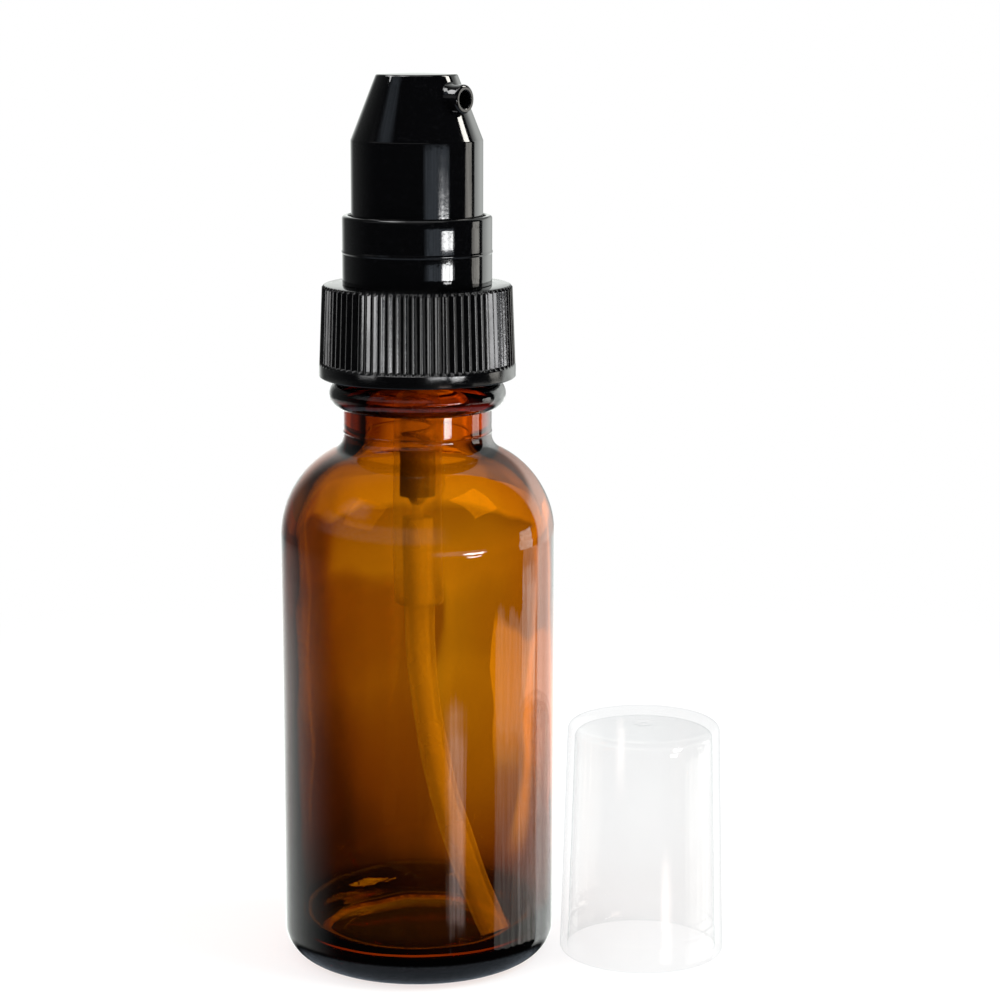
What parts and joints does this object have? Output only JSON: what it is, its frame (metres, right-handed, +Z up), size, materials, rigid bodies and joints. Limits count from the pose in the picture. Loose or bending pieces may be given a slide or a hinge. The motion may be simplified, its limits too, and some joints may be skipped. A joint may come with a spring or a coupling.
{
  "type": "pump oil bottle",
  "caption": "Small amber glass Boston round bottle with a screw-on black treatment pump, dip tube and a clear over cap beside it.",
  "frame": {"origin": "bottom centre of the whole set's bounding box, on the table; the bottle's axis is the upright line at x = -0.0104, y = 0", "axes": "+Z up along the bottle's axis; +X from the bottle towards the over cap; the camera side, where the nozzle points right and forward, is -Y"},
  "size_m": [0.0534, 0.0326, 0.1056],
  "materials": {
    "amber_glass": "clear amber, fire-polished, glossy",
    "satin_black": "black polypropylene, semi-gloss, ribbed",
    "gloss_black": "black polypropylene, high gloss",
    "natural_plastic": "natural, translucent, satin",
    "liner_white": "foamed polyethylene liner",
    "stainless": "bright drawn stainless steel",
    "clear_plastic": "clear, faintly milky, glossy"
  },
  "bodies": {
    "bottle": {"bottle": "amber_glass"},
    "pump_body": {"housing": "natural_plastic", "gasket": "liner_white", "neck_ring": "gloss_black", "stem_retainer": "natural_plastic", "valve_cage": "gloss_black", "dip_tube": "natural_plastic", "spring": "stainless"},
    "screw_collar": {"screw_collar": "satin_black"},
    "stem": {"upper_stem": "natural_plastic", "plunger_core": "natural_plastic"},
    "actuator": {"actuator": "gloss_black"},
    "piston": {"piston": "natural_plastic"},
    "inlet_ball": {"inlet_ball": "stainless"},
    "over_cap": {"over_cap": "clear_plastic"}
  },
  "joints": [
    {"name": "pump_rise", "type": "slide", "parent": "bottle", "child": "pump_body", "axis": [0, 0, 1], "range_m": [0, 0.00397]},
    {"name": "collar_turn", "type": "hinge", "parent": "pump_body", "child": "screw_collar", "pos_m": [-0.0104, 0, 0.0759], "axis": [0, 0, 1], "range_deg": [0, 450]},
    {"name": "actuator_press", "type": "slide", "parent": "pump_body", "child": "stem", "axis": [0, 0, -1], "range_m": [0, 0.005], "deforming": ["spring"]},
    {"name": "actuator_swivel", "type": "hinge", "parent": "stem", "child": "actuator", "pos_m": [-0.0104, 0, 0.0966], "axis": [0, 0, 1], "continuous": true},
    {"name": "piston_valve", "type": "slide", "parent": "stem", "child": "piston", "axis": [0, 0, 1], "range_m": [0, 0.0008]},
    {"name": "inlet_ball_lift", "type": "slide", "parent": "pump_body", "child": "inlet_ball", "axis": [0, 0, 1], "range_m": [0, 0.0008]},
    {"name": "over_cap_lift", "type": "slide", "parent": "bottle", "child": "over_cap", "axis": [0, 0, 1], "range_m": [0, 0.11]}
  ],
  "couplings": [
    {"joint": "pump_rise", "follows": "collar_turn", "m_per_rad": 0.00050532}
  ]
}
